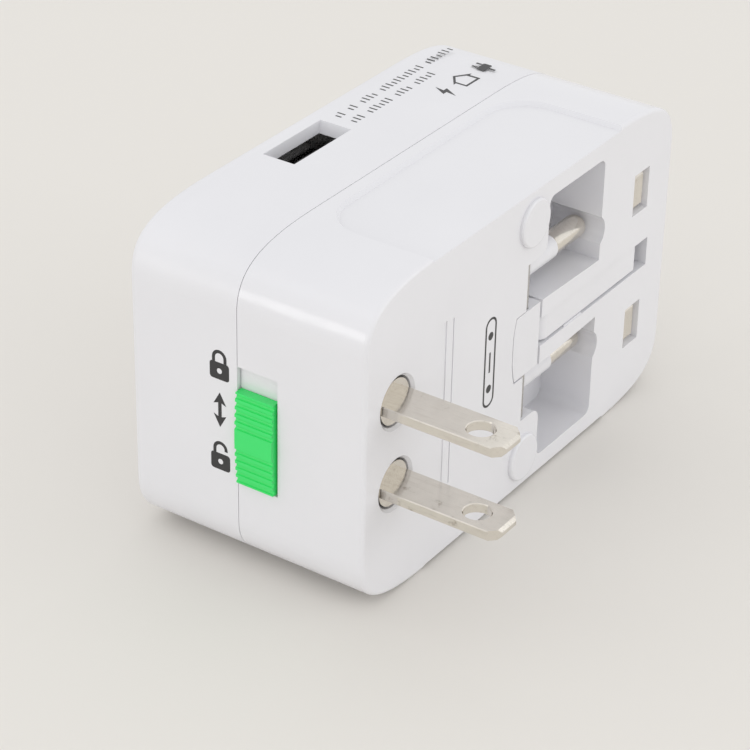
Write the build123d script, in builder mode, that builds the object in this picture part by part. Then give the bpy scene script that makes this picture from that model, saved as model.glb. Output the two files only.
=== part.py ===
from build123d import *
import os

# Universal travel adapter: a plug module (folding, sliding and twisting pins) that
# snaps onto a socket module (universal socket and USB charger).
# Millimetres. +X along the length, +Y from the pins to the socket face, +Z up.
# The origin is the centre of the base of the whole object's box, pins included.
# Spans below are given from the body's centre line: x along the length, depth
# from the plug face into the body, z from mid-height.

os.makedirs("parts", exist_ok=True)

# ---------------------------------------------------------------- overall size
LENGTH = 79.3
HEIGHT = 48.6
PLUG_DEPTH = 20.5
SOCKET_DEPTH = 18.1
TOTAL_DEPTH = PLUG_DEPTH + SOCKET_DEPTH
WALL = 1.8
SEAM_GAP = 0.1
SEAM = PLUG_DEPTH - SEAM_GAP
CORNER_X = 16.8
CORNER_Z = 8.3
CORNER_PULL = 0.73
FACE_EDGE = 0.6
BACK_EDGE = 1.4
BLADE_OUT = 17.7
SLIDER_PROUD = 1.0

BODY_X = SLIDER_PROUD / 2
FACE_Y = (BLADE_OUT - TOTAL_DEPTH) / 2
MID_Z = HEIGHT / 2
END_X = LENGTH / 2
INNER_X = END_X - WALL
TOP_Z = HEIGHT / 2

# ---------------------------------------------------------------- standard pins
UK_PIN_X = 30.8
UK_PIN_Z = 11.1
UK_PIN_WIDE = 6.35
UK_PIN_THICK = 4.0
UK_PIN_OUT = 17.7
UK_TIP_DEPTH = 0.5
UK_TRAVEL = UK_PIN_OUT + UK_TIP_DEPTH
UK_LINE_TO_EARTH = 22.2
UK_WINDOW_GAP = 0.3

EARTH_X = UK_PIN_X - UK_LINE_TO_EARTH
EARTH_WIDE = 8.0
EARTH_THICK = 4.0
EARTH_OUT = 22.7
EARTH_TOP = 0.3
EARTH_PIVOT_DEPTH = (EARTH_WIDE / 2 + EARTH_TOP) / 2
EARTH_PIVOT_X = EARTH_X - EARTH_PIVOT_DEPTH
EARTH_TIP_X = EARTH_X + EARTH_OUT
EARTH_AXLE_R = 0.9

US_X = -32.25
US_Z = 6.35
US_BLADE_WIDE = 6.35
US_BLADE_THICK = 1.5
US_HOLE_R = 3.65
US_HOLE_EDGE = 0.4

EU_Z = 9.2
EU_PIN_R = 1.75
EU_ROOT_R = 1.3
EU_SLEEVE_R = 1.9
EU_PIN_DEPTH = 4.1
EU_SLEEVE_END = 11.5
EU_TIP_X = 20.2
EU_PIVOT_X = 0.6
EU_PIVOT_DEPTH = 1.05
EU_AXLE_R = 0.6
EU_TIP_ROUND = 1.5

RUNNING = 0.05
OVERLAP = 0.1
PAST = 1.0
CUT_REACH = 5.0
EU_AXLE_HALF = 20.3
EARTH_AXLE_HALF = 4.2


# ---------------------------------------------------------------- helpers
def face_plane(depth):
    """Parallel to the plug face: sketch x along the length, sketch y up, normal out of the face."""
    return Plane(origin=(BODY_X, FACE_Y + depth, MID_Z), x_dir=(1, 0, 0), z_dir=(0, -1, 0))


def level_plane(z):
    """Horizontal: sketch x along the length, sketch y into the body."""
    return Plane(origin=(BODY_X, FACE_Y, MID_Z + z), x_dir=(1, 0, 0), z_dir=(0, 0, 1))


def point(x, depth, z):
    return (BODY_X + x, FACE_Y + depth, MID_Z + z)


def block(x0, x1, d0, d1, z0, z1, mode=Mode.ADD):
    """A box given by its spans along the length, the depth and the height."""
    with Locations(point((x0 + x1) / 2, (d0 + d1) / 2, (z0 + z1) / 2)):
        Box(x1 - x0, d1 - d0, z1 - z0, mode=mode)


def rod_deep(x, z, radius, d0, d1, mode=Mode.ADD):
    """A round bar that runs in the depth direction."""
    with Locations(point(x, (d0 + d1) / 2, z)):
        Cylinder(radius, d1 - d0, rotation=(90, 0, 0), mode=mode)


def rod_long(depth, z, radius, x0, x1, mode=Mode.ADD):
    """A round bar that runs along the length."""
    with Locations(point((x0 + x1) / 2, depth, z)):
        Cylinder(radius, x1 - x0, rotation=(0, 90, 0), mode=mode)


def rod_high(x, depth, radius, z0, z1, mode=Mode.ADD):
    """A round bar that runs up the height."""
    with Locations(point(x, depth, (z0 + z1) / 2)):
        Cylinder(radius, z1 - z0, mode=mode)


def body_outline(inset):
    """The rounded oblong seen from the plug face, moved inwards by inset."""
    half_x = END_X - inset
    half_z = TOP_Z - inset
    corner_x = CORNER_X - inset
    corner_z = CORNER_Z - inset
    start = (half_x, half_z - corner_z)
    end = (half_x - corner_x, half_z)
    with BuildSketch() as outline:
        with BuildLine():
            Line((half_x, 0), start)
            Bezier(
                start,
                (half_x, start[1] + CORNER_PULL * corner_z),
                (end[0] + CORNER_PULL * corner_x, half_z),
                end,
            )
            Line(end, (0, half_z))
            mirror(about=Plane.YZ)
            mirror(about=Plane.XZ)
        make_face()
    return outline.sketch


def save(builder, name):
    builder.part.label = name
    export_step(builder.part, f"parts/{name}.step")


# ---------------------------------------------------------------- plug shell
POCKET_DEPTH = 8.5
POCKET_LEFT = 4.45
POCKET_RIGHT = 19.45
POCKET_INNER_Z = 4.7
POCKET_INNER_LEFT_Z = 5.2
POCKET_OUTER_Z = 21.0
NOTCH_LEFT = -0.45
NOTCH_INNER_Z = 5.3
NOTCH_Z = 12.6
ELBOW_R = 1.8
POCKET_CORNER_R = 1.3
LOBE_R = 2.7
LOBE_X = 17.85
LOBE_Z = 9.45
WELL_WALL = 1.2
SLOT_END_WALL = 1.0
HEAD_FLOOR = 1.8

SLOT_LEFT = 3.9
SLOT_HALF_Z = 2.3
SLOT_RIGHT = 33.95
SLOT_DEPTH = 9.1
SNAP_TAB_X = (10.6, 15.4)
SNAP_TAB_DEPTH = (0.1, 1.0)
SNAP_TAB_Z = (-SLOT_HALF_Z - 0.3, -EARTH_THICK / 2 - 0.08)

HEAD_CAVITY_R = 4.35
HEAD_CAVITY_Z = NOTCH_INNER_Z
DETENT_X = (-3.1, 3.7)
DETENT_DEPTH = 6.1
DETENT_HALF_Z = 1.6
DETENT_THICK = 0.4
DETENT_GAP = 0.1

PAD_X = 0.35
PAD_Z = 18.9
PAD_R = 3.6
PAD_HEIGHT = 0.6
PAD_ROUND = 0.35

GRIP_LEFT = -25.05
GRIP_RIGHT = 23.95
GRIP_END_DEPTH = 18.5
GRIP_CORNER = 7.0
GRIP_SINK = 0.6
GRIP_TAPER = 40
GRIP_OVERRUN = 2.0

FACE_LINE_SINK = 0.15
FACE_LINES = [(-22.85, -20.85, -12.5, 13.3), (-19.35, -19.1, -13.0, 13.0)]

RECESS_Z = (-9.9, 8.1)
RECESS_DEPTH = 13.9
RECESS_SINK = 0.8
STEM_SLOT_Z = (-5.3, 2.9)
STEM_SLOT_DEPTH = 15.4

PLUG_SCREWS = [(-22.0, 17.5), (-22.0, -17.5), (24.2, 17.5), (24.2, -17.5)]
BOSS_R = 2.5
SCREW_R = 1.0
SCREW_HOLE_DEPTH = 9.0
SCREW_HEAD_R = 2.2
SCREW_HEAD_HIGH = 1.2
SCREW_THREAD = 9.0
DRIVER_SLOT = (3.2, 0.5, 0.4)
US_GUIDE_X = (US_X - 3.0, US_X + 3.0)
US_GUIDE_Z = (12.3, 13.3)
UK_GUIDE_X = (UK_PIN_X - 2.0, UK_PIN_X + 4.0)
UK_GUIDE_Z = (15.2, 16.2)

COVER_THICK = 1.5
COVER_FRONT = SEAM - COVER_THICK


def pocket_profile():
    """Finger pocket beside one folded round pin, with its notch and pin-tip lobe."""
    with BuildSketch() as profile:
        with BuildLine():
            Polyline(
                (POCKET_LEFT, POCKET_INNER_LEFT_Z),
                (NOTCH_LEFT, NOTCH_INNER_Z),
                (NOTCH_LEFT, NOTCH_Z),
                (POCKET_LEFT, NOTCH_Z),
                (POCKET_LEFT, POCKET_OUTER_Z),
                (POCKET_RIGHT, POCKET_OUTER_Z),
                (POCKET_RIGHT, POCKET_INNER_Z),
                close=True,
            )
        make_face()
        rounded = profile.vertices().filter_by(lambda v: v.Y > POCKET_OUTER_Z - 1)
        fillet(rounded, POCKET_CORNER_R)
        elbow = profile.vertices().filter_by(
            lambda v: abs(v.X - POCKET_LEFT) < 0.01 and abs(v.Y - NOTCH_Z) < 0.01
        )
        fillet(elbow, ELBOW_R)
        with Locations((LOBE_X, LOBE_Z)):
            Circle(LOBE_R)
    return profile.sketch


HEAD_BOW_R = 17.0
HEAD_LEFT_R = 4.05
HEAD_GAP = HEAD_CAVITY_R - HEAD_LEFT_R


def bowed_side(gap):
    """Tall round bar whose left side is the bowed left edge of the round-pin carriage's head."""
    with BuildPart() as bar:
        rod_deep(EU_PIVOT_X - HEAD_LEFT_R + HEAD_BOW_R, 0, HEAD_BOW_R + gap, -CUT_REACH, 2 * CUT_REACH)
    return bar.part


head_cavity_bow = bowed_side(HEAD_GAP)

with BuildPart() as head_cavity:
    with BuildSketch(level_plane(-HEAD_CAVITY_Z)):
        with Locations((EU_PIVOT_X, EU_PIVOT_DEPTH)):
            Circle(HEAD_CAVITY_R)
        with Locations((SLOT_LEFT - CUT_REACH, EU_PIVOT_DEPTH)):
            Rectangle(2 * CUT_REACH, 2 * CUT_REACH, mode=Mode.INTERSECT)
    extrude(amount=2 * HEAD_CAVITY_Z)
    add(head_cavity_bow, mode=Mode.INTERSECT)

with BuildPart() as plug_shell:
    with BuildSketch(face_plane(SEAM)):
        add(body_outline(0))
    extrude(amount=SEAM)
    fillet(plug_shell.faces().sort_by(Axis.Y)[0].edges(), FACE_EDGE)
    with BuildSketch(face_plane(SEAM)):
        add(body_outline(WALL))
    extrude(amount=SEAM - WALL, mode=Mode.SUBTRACT)

    # Walls and floors of the pin pockets, left standing inside the hollow.
    for side in (1, -1):
        pocket_z = sorted((side * (SLOT_HALF_Z + OVERLAP), side * (POCKET_OUTER_Z + WELL_WALL)))
        block(
            NOTCH_LEFT - WELL_WALL,
            LOBE_X + LOBE_R + WELL_WALL,
            WALL / 2,
            POCKET_DEPTH + WELL_WALL,
            *pocket_z,
        )
    block(
        EU_PIVOT_X - HEAD_CAVITY_R - WELL_WALL,
        SLOT_RIGHT + SLOT_END_WALL,
        WALL / 2,
        SLOT_DEPTH + WELL_WALL,
        -SLOT_HALF_Z - WELL_WALL,
        SLOT_HALF_Z + WELL_WALL,
    )
    block(
        EU_PIVOT_X - HEAD_CAVITY_R - WELL_WALL,
        EU_PIVOT_X,
        WALL / 2,
        EU_PIVOT_DEPTH + HEAD_CAVITY_R + HEAD_FLOOR,
        -HEAD_CAVITY_Z - WELL_WALL,
        HEAD_CAVITY_Z + WELL_WALL,
    )

    # Round caps over the ends of the round pins' axle.
    with BuildSketch(face_plane(WALL / 2)):
        with Locations((PAD_X, PAD_Z), (PAD_X, -PAD_Z)):
            Circle(PAD_R)
    extrude(amount=WALL / 2 + PAD_HEIGHT)
    pad_rims = plug_shell.faces().sort_by(Axis.Y)[0:2]
    fillet(pad_rims[0].edges() + pad_rims[1].edges(), PAD_ROUND)

    # Finger pockets.
    with BuildSketch(face_plane(POCKET_DEPTH)):
        add(pocket_profile())
        mirror(about=Plane.XZ)
    extrude(amount=POCKET_DEPTH + PAST, mode=Mode.SUBTRACT)

    # Slot of the folding earth pin, with its fingernail recess.
    block(SLOT_LEFT, SLOT_RIGHT, -PAST, SLOT_DEPTH, -SLOT_HALF_Z, SLOT_HALF_Z, Mode.SUBTRACT)

    # Small tab that the folded earth pin snaps past.
    block(*SNAP_TAB_X, *SNAP_TAB_DEPTH, *SNAP_TAB_Z)

    # Round cavity for the head of the round-pin carriage.
    add(head_cavity.part, mode=Mode.SUBTRACT)
    block(
        DETENT_X[0] - DETENT_GAP,
        DETENT_X[1] + DETENT_GAP,
        EU_PIVOT_DEPTH,
        DETENT_DEPTH,
        -DETENT_HALF_Z - DETENT_GAP,
        DETENT_HALF_Z + DETENT_GAP,
        Mode.SUBTRACT,
    )
    rod_high(EU_PIVOT_X, EU_PIVOT_DEPTH, EU_AXLE_R, -EU_AXLE_HALF, EU_AXLE_HALF, Mode.SUBTRACT)
    rod_high(
        EARTH_PIVOT_X,
        EARTH_PIVOT_DEPTH,
        EARTH_AXLE_R,
        -EARTH_AXLE_HALF,
        EARTH_AXLE_HALF,
        Mode.SUBTRACT,
    )

    # Windows for the rectangular pins and holes for the flat blades.
    with BuildSketch(face_plane(WALL + PAST)):
        with Locations((UK_PIN_X, UK_PIN_Z), (UK_PIN_X, -UK_PIN_Z)):
            Rectangle(UK_PIN_THICK + UK_WINDOW_GAP, UK_PIN_WIDE + UK_WINDOW_GAP)
        with Locations((US_X, US_Z), (US_X, -US_Z)):
            Circle(US_HOLE_R)
    extrude(amount=WALL + 2 * PAST, mode=Mode.SUBTRACT)
    hole_rims = (
        plug_shell.edges()
        .filter_by(GeomType.CIRCLE)
        .filter_by(lambda e: abs(e.radius - US_HOLE_R) < 0.01)
        .group_by(Axis.Y)[0]
    )
    chamfer(hole_rims, US_HOLE_EDGE)

    # Shallow grips on the two long sides.
    for side in (1, -1):
        inwards = Plane(origin=point(0, 0, side * TOP_Z), x_dir=(1, 0, 0), z_dir=(0, 0, -side))
        grip_middle = ((GRIP_LEFT + GRIP_RIGHT) / 2, -side * (GRIP_END_DEPTH - GRIP_OVERRUN) / 2)
        with BuildSketch(inwards):
            with Locations(grip_middle):
                Rectangle(GRIP_RIGHT - GRIP_LEFT, GRIP_END_DEPTH + GRIP_OVERRUN)
            fillet(vertices().filter_by(lambda v: abs(v.Y) > GRIP_OVERRUN + PAST), GRIP_CORNER)
        extrude(amount=GRIP_SINK, taper=GRIP_TAPER, mode=Mode.SUBTRACT)

    # Shallow lines of the label field on the plug face.
    for x0, x1, z0, z1 in FACE_LINES:
        block(x0, x1, -PAST, FACE_LINE_SINK, z0, z1, Mode.SUBTRACT)

    # Recess of the lock slider, and the slot for its stem.
    block(-END_X - PAST, -END_X + RECESS_SINK, RECESS_DEPTH, SEAM + PAST, *RECESS_Z, Mode.SUBTRACT)
    block(-END_X - PAST, -INNER_X + PAST, STEM_SLOT_DEPTH, SEAM + PAST, *STEM_SLOT_Z, Mode.SUBTRACT)

    # Screw bosses and the guides of the two sliding carriages.
    for x, z in PLUG_SCREWS:
        rod_deep(x, z, BOSS_R, WALL / 2, COVER_FRONT)
        rod_deep(x, z, SCREW_R, SCREW_HOLE_DEPTH, COVER_FRONT, Mode.SUBTRACT)
    for side in (1, -1):
        us_guide = sorted((side * US_GUIDE_Z[0], side * US_GUIDE_Z[1]))
        uk_guide = sorted((side * UK_GUIDE_Z[0], side * UK_GUIDE_Z[1]))
        block(*US_GUIDE_X, WALL / 2, COVER_FRONT, *us_guide)
        block(*UK_GUIDE_X, WALL / 2, COVER_FRONT, *uk_guide)
save(plug_shell, "plug_shell")

# ---------------------------------------------------------------- plug inner cover
US_CARRIER_HALF_X = 4.05
US_CARRIER_HALF_Z = 11.9
UK_CARRIER_X = (27.4, 37.4)
UK_CARRIER_Z = (7.3, 14.9)
UK_BRIDGE_X = 35.4
CARRIAGE_CLEARANCE = 0.35
LINK_X = (-11.0, -7.0)
LINK_Z = (13.4, 14.2)
SOCKET_X = 5.0
SOCKET_EARTH_X = SOCKET_X + UK_LINE_TO_EARTH
EARTH_PASS_HALF = 4.4
EU_PASS_R = 2.7
LINK_CLEARANCE = 0.5


def uk_carrier_profile(grow):
    """C-shaped outline of the rectangular pins' carrier, grown by a clearance."""
    x0, x1 = UK_CARRIER_X
    z0, z1 = UK_CARRIER_Z
    with BuildSketch() as profile:
        for side in (1, -1):
            with Locations(((x0 + x1) / 2, side * (z0 + z1) / 2)):
                Rectangle(x1 - x0 + 2 * grow, z1 - z0 + 2 * grow)
        with Locations(((UK_BRIDGE_X + x1) / 2, 0)):
            Rectangle(x1 - UK_BRIDGE_X + 2 * grow, 2 * z1)
    return profile.sketch


with BuildPart() as plug_inner_cover:
    with BuildSketch(face_plane(SEAM)):
        add(body_outline(WALL))
    extrude(amount=COVER_THICK)
    block(
        -INNER_X - PAST,
        US_X + US_CARRIER_HALF_X + CARRIAGE_CLEARANCE,
        COVER_FRONT - PAST,
        SEAM + PAST,
        -US_CARRIER_HALF_Z - CARRIAGE_CLEARANCE,
        US_CARRIER_HALF_Z + CARRIAGE_CLEARANCE,
        Mode.SUBTRACT,
    )
    with BuildSketch(face_plane(SEAM + PAST)):
        add(uk_carrier_profile(CARRIAGE_CLEARANCE))
    extrude(amount=COVER_THICK + 2 * PAST, mode=Mode.SUBTRACT)
    for side in (1, -1):
        link_z = sorted((side * (LINK_Z[0] - LINK_CLEARANCE), side * (LINK_Z[1] + LINK_CLEARANCE)))
        link_x = (LINK_X[0] - LINK_CLEARANCE, LINK_X[1] + LINK_CLEARANCE)
        block(*link_x, COVER_FRONT - PAST, SEAM + PAST, *link_z, Mode.SUBTRACT)
        rod_deep(SOCKET_X, side * EU_Z, EU_PASS_R, COVER_FRONT - PAST, SEAM + PAST, Mode.SUBTRACT)
    block(
        SOCKET_EARTH_X - EARTH_PASS_HALF,
        SOCKET_EARTH_X + EARTH_PASS_HALF,
        COVER_FRONT - PAST,
        SEAM + PAST,
        -SLOT_HALF_Z,
        SLOT_HALF_Z,
        Mode.SUBTRACT,
    )
    for x, z in PLUG_SCREWS:
        rod_deep(x, z, SCREW_R, COVER_FRONT - PAST, SEAM + PAST, Mode.SUBTRACT)
        with Locations(Location(point(x, SEAM - SCREW_HEAD_HIGH / 2, z), (90, 0, 0))):
            Cone(SCREW_HEAD_R, SCREW_R, SCREW_HEAD_HIGH, mode=Mode.SUBTRACT)
save(plug_inner_cover, "plug_inner_cover")


def driver_slot(x, z, d0, d1):
    """Straight slot across a screw's head."""
    half_x = DRIVER_SLOT[0] / 2
    half_z = DRIVER_SLOT[1] / 2
    block(x - half_x, x + half_x, d0, d1, z - half_z, z + half_z, Mode.SUBTRACT)


def countersunk_screws(places, head_depth, tip_depth):
    """Self-tapping screws with flat heads and a straight driver slot, pointing out of the face."""
    with BuildPart() as screws:
        for x, z in places:
            with Locations(Location(point(x, head_depth - SCREW_HEAD_HIGH / 2, z), (90, 0, 0))):
                Cone(SCREW_HEAD_R, SCREW_R, SCREW_HEAD_HIGH)
            rod_deep(x, z, SCREW_R, tip_depth, head_depth - SCREW_HEAD_HIGH + OVERLAP)
            driver_slot(x, z, head_depth - DRIVER_SLOT[2], head_depth + PAST)
    return screws


cover_screws = countersunk_screws(PLUG_SCREWS, SEAM, SCREW_HOLE_DEPTH + PAST)
save(cover_screws, "cover_screws")

# ---------------------------------------------------------------- lock slider and hook
SLIDER_Z = (-9.6, 4.6)
SLIDER_DEPTH = (14.2, SEAM - 0.1)
SLIDER_BACK_X = -END_X + RECESS_SINK - 0.1
SLIDER_CROWN = 0.35
RIDGE_COUNT = 5
RIDGE_PITCH = 1.15
RIDGE_CUT = 0.35
RIDGE_START = 1.9
STEM_Z = (-5.0, -1.0)
STEM_DEPTH = (15.7, 18.6)
HOOK_X = (-INNER_X + 0.15, -INNER_X + 1.05)
HOOK_NOSE_DEPTH = (22.2, 23.6)
HOOK_NOSE_Z = 1.6
HOOK_FOOT = 0.8


def slider_profile():
    """Side view of the lock slider: crowned outside, with finger ridges above and below a plain band."""
    z_low, z_high = SLIDER_Z
    z_middle = (z_low + z_high) / 2
    outer_x = -END_X - SLIDER_PROUD
    with BuildSketch() as profile:
        with BuildLine():
            Polyline((outer_x + SLIDER_CROWN, z_low), (SLIDER_BACK_X, z_low), (SLIDER_BACK_X, z_high))
            Line((SLIDER_BACK_X, z_high), (outer_x + SLIDER_CROWN, z_high))
            ThreePointArc(
                (outer_x + SLIDER_CROWN, z_high),
                (outer_x, z_middle),
                (outer_x + SLIDER_CROWN, z_low),
            )
        make_face()
        for index in range(RIDGE_COUNT):
            for end in (1, -1):
                ridge_z = z_middle + end * (RIDGE_START + index * RIDGE_PITCH)
                sag = SLIDER_CROWN * ((ridge_z - z_middle) / (z_high - z_middle)) ** 2
                with Locations((outer_x + sag, ridge_z)):
                    Circle(RIDGE_CUT, mode=Mode.SUBTRACT)
    return profile.sketch


with BuildPart() as lock_slider:
    side_view = Plane(
        origin=point(0, SLIDER_DEPTH[0], 0), x_dir=(1, 0, 0), z_dir=(0, -1, 0)
    )
    with BuildSketch(side_view):
        add(slider_profile())
    extrude(amount=SLIDER_DEPTH[0] - SLIDER_DEPTH[1])
    block(SLIDER_BACK_X - OVERLAP, HOOK_X[0], *STEM_DEPTH, *STEM_Z)
save(lock_slider, "lock_slider")

with BuildPart() as lock_hook:
    block(*HOOK_X, STEM_DEPTH[0] - HOOK_FOOT, HOOK_NOSE_DEPTH[1], *STEM_Z)
    block(*HOOK_X, *HOOK_NOSE_DEPTH, STEM_Z[0], HOOK_NOSE_Z)
save(lock_hook, "lock_hook")

# ---------------------------------------------------------------- round pins
HEAD_RIGHT_X = 3.65
HEAD_HALF_Z = 5.1
HEAD_TOP = 0.08
HEAD_REACH = HEAD_RIGHT_X - EU_PIVOT_X
ARM_X = (NOTCH_LEFT + 0.12, 3.0)
ARM_DEPTH = (2.3, 5.8)
ARM_Z = (NOTCH_INNER_Z + 0.15, 11.3)
ARM_FILLET = 0.8
PIN_ROOT_X = 1.2
SLEEVE_END_FILLET = 0.3
SLEEVE_SEAT = 0.5


def head_profile():
    """Section of the carriage's head: flush with the plug face and free to swing 90 degrees."""
    with BuildSketch() as profile:
        with Locations((EU_PIVOT_X, EU_PIVOT_DEPTH)):
            Circle(HEAD_LEFT_R)
        with Locations((EU_PIVOT_X - HEAD_LEFT_R, (HEAD_TOP + EU_PIVOT_DEPTH + HEAD_REACH) / 2)):
            Rectangle(2 * HEAD_LEFT_R, EU_PIVOT_DEPTH + HEAD_REACH - HEAD_TOP, mode=Mode.INTERSECT)
        with BuildSketch(mode=Mode.PRIVATE) as right_half:
            with Locations((EU_PIVOT_X, EU_PIVOT_DEPTH)):
                Circle(HEAD_REACH)
            with Locations((EU_PIVOT_X + HEAD_REACH, HEAD_TOP + HEAD_REACH)):
                Rectangle(2 * HEAD_REACH, 2 * HEAD_REACH, mode=Mode.INTERSECT)
        add(right_half.sketch)
    return profile.sketch


head_bow = bowed_side(0)

with BuildPart() as eu_carriage:
    with BuildSketch(level_plane(-HEAD_HALF_Z)):
        add(head_profile())
    extrude(amount=2 * HEAD_HALF_Z)
    add(head_bow, mode=Mode.INTERSECT)
    # Link behind the head, and the two arms under the plug face that carry the pins.
    with BuildSketch(level_plane(-ARM_Z[0])):
        with Locations((EU_PIVOT_X, EU_PIVOT_DEPTH)):
            Circle(HEAD_REACH)
        with Locations((sum(ARM_X) / 2, sum(ARM_DEPTH) / 2)):
            Rectangle(ARM_X[1] - ARM_X[0], ARM_DEPTH[1] - ARM_DEPTH[0], mode=Mode.INTERSECT)
    extrude(amount=2 * ARM_Z[0])
    for side in (1, -1):
        block(*ARM_X, *ARM_DEPTH, *sorted((side * ARM_Z[0], side * ARM_Z[1])))
    fillet(eu_carriage.edges().filter_by(Axis.Z).group_by(Axis.Y)[-1], ARM_FILLET)
    for side in (1, -1):
        rod_long(EU_PIN_DEPTH, side * EU_Z, EU_SLEEVE_R, ARM_X[1] - SLEEVE_SEAT, EU_SLEEVE_END)
    fillet(eu_carriage.faces().group_by(Axis.X)[-1].edges(), SLEEVE_END_FILLET)
    for side in (1, -1):
        rod_long(EU_PIN_DEPTH, side * EU_Z, EU_ROOT_R, PIN_ROOT_X, EU_SLEEVE_END + PAST, Mode.SUBTRACT)
    rod_high(EU_PIVOT_X, EU_PIVOT_DEPTH, EU_AXLE_R + RUNNING, -NOTCH_Z, NOTCH_Z, Mode.SUBTRACT)
save(eu_carriage, "eu_carriage")


def eu_pin(side):
    """Round metal pin with a rounded tip; its thinner root is held in the sleeve."""
    with BuildPart() as pin:
        rod_long(EU_PIN_DEPTH, side * EU_Z, EU_ROOT_R, PIN_ROOT_X, EU_SLEEVE_END + OVERLAP)
        rod_long(EU_PIN_DEPTH, side * EU_Z, EU_PIN_R, EU_SLEEVE_END, EU_TIP_X)
        fillet(pin.faces().sort_by(Axis.X)[-1].edges(), EU_TIP_ROUND)
    return pin


eu_pin_live = eu_pin(1)
save(eu_pin_live, "eu_pin_live")
eu_pin_neutral = eu_pin(-1)
save(eu_pin_neutral, "eu_pin_neutral")

with BuildPart() as eu_axle:
    rod_high(EU_PIVOT_X, EU_PIVOT_DEPTH, EU_AXLE_R, -EU_AXLE_HALF, EU_AXLE_HALF)
save(eu_axle, "eu_axle")

with BuildPart() as eu_detent_spring:
    block(*DETENT_X, DETENT_DEPTH - DETENT_THICK, DETENT_DEPTH, -DETENT_HALF_Z, DETENT_HALF_Z)
save(eu_detent_spring, "eu_detent_spring")

# ---------------------------------------------------------------- folding earth pin
EARTH_HEEL_R = 2.35
EARTH_HEEL_BEND = (0.66, 0.43)
EARTH_HEEL_ROUND = 2.0
EARTH_TIP_EDGE = 0.5

with BuildPart() as uk_earth_pin:
    with BuildSketch(level_plane(-EARTH_THICK / 2)):
        with BuildLine():
            Polyline(
                (EARTH_PIVOT_X, EARTH_TOP),
                (EARTH_TIP_X, EARTH_TOP),
                (EARTH_TIP_X, EARTH_TOP + EARTH_WIDE),
                (EARTH_PIVOT_X - EARTH_HEEL_R, EARTH_TOP + EARTH_WIDE),
                (EARTH_PIVOT_X - EARTH_HEEL_R, EARTH_PIVOT_DEPTH),
            )
            ThreePointArc(
                (EARTH_PIVOT_X - EARTH_HEEL_R, EARTH_PIVOT_DEPTH),
                (EARTH_PIVOT_X - EARTH_HEEL_R * EARTH_HEEL_BEND[0], EARTH_TOP + EARTH_HEEL_BEND[1]),
                (EARTH_PIVOT_X, EARTH_TOP),
            )
        make_face()
        heel = vertices().filter_by(lambda v: v.Y > EARTH_TOP + EARTH_WIDE / 2 and v.X < EARTH_X)
        fillet(heel, EARTH_HEEL_ROUND)
    extrude(amount=EARTH_THICK)
    chamfer(uk_earth_pin.faces().sort_by(Axis.X)[-1].edges(), EARTH_TIP_EDGE)
    rod_high(
        EARTH_PIVOT_X,
        EARTH_PIVOT_DEPTH,
        EARTH_AXLE_R + RUNNING,
        -EARTH_THICK,
        EARTH_THICK,
        Mode.SUBTRACT,
    )
save(uk_earth_pin, "uk_earth_pin")

with BuildPart() as earth_axle:
    rod_high(EARTH_PIVOT_X, EARTH_PIVOT_DEPTH, EARTH_AXLE_R, -EARTH_AXLE_HALF, EARTH_AXLE_HALF)
save(earth_axle, "earth_axle")

# ---------------------------------------------------------------- rectangular pins
UK_CARRIER_FRONT = WALL + SEAM_GAP + UK_TRAVEL
UK_CARRIER_THICK = 3.0
UK_PIN_SEAT = 2.4
UK_PIN_ROOT = UK_CARRIER_FRONT + UK_PIN_SEAT
UK_PIN_BEVEL = 0.8

with BuildPart() as uk_carrier:
    with BuildSketch(face_plane(UK_CARRIER_FRONT + UK_CARRIER_THICK)):
        add(uk_carrier_profile(0))
    extrude(amount=UK_CARRIER_THICK)
    with BuildSketch(face_plane(UK_PIN_ROOT)):
        with Locations((UK_PIN_X, UK_PIN_Z), (UK_PIN_X, -UK_PIN_Z)):
            Rectangle(UK_PIN_THICK, UK_PIN_WIDE)
    extrude(amount=UK_CARRIER_THICK, mode=Mode.SUBTRACT)
save(uk_carrier, "uk_carrier")


def uk_pin(side):
    """Rectangular pin with a bevelled tip."""
    z = side * UK_PIN_Z
    with BuildPart() as pin:
        block(
            UK_PIN_X - UK_PIN_THICK / 2,
            UK_PIN_X + UK_PIN_THICK / 2,
            UK_TIP_DEPTH,
            UK_PIN_ROOT,
            z - UK_PIN_WIDE / 2,
            z + UK_PIN_WIDE / 2,
        )
        chamfer(pin.faces().sort_by(Axis.Y)[0].edges(), UK_PIN_BEVEL)
    return pin


uk_pin_live = uk_pin(1)
save(uk_pin_live, "uk_pin_live")
uk_pin_neutral = uk_pin(-1)
save(uk_pin_neutral, "uk_pin_neutral")

# ---------------------------------------------------------------- flat blades
ROTOR_DEPTH = (0.45, 2.4)
ROTOR_R = 3.3
BLADE_ROOT = ROTOR_DEPTH[0] + OVERLAP
US_CARRIER_DEPTH = (2.5, 4.5)
RIVET_R = 1.2
RIVET_HEAD_R = 2.0
RIVET_END = 5.0
BLADE_BEVEL = 1.5
BLADE_HOLE_R = 1.9
BLADE_HOLE_FROM_TIP = 4.9
BLADE_TIP_EDGE = 0.45
BLADE_EDGE = 0.14


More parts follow.
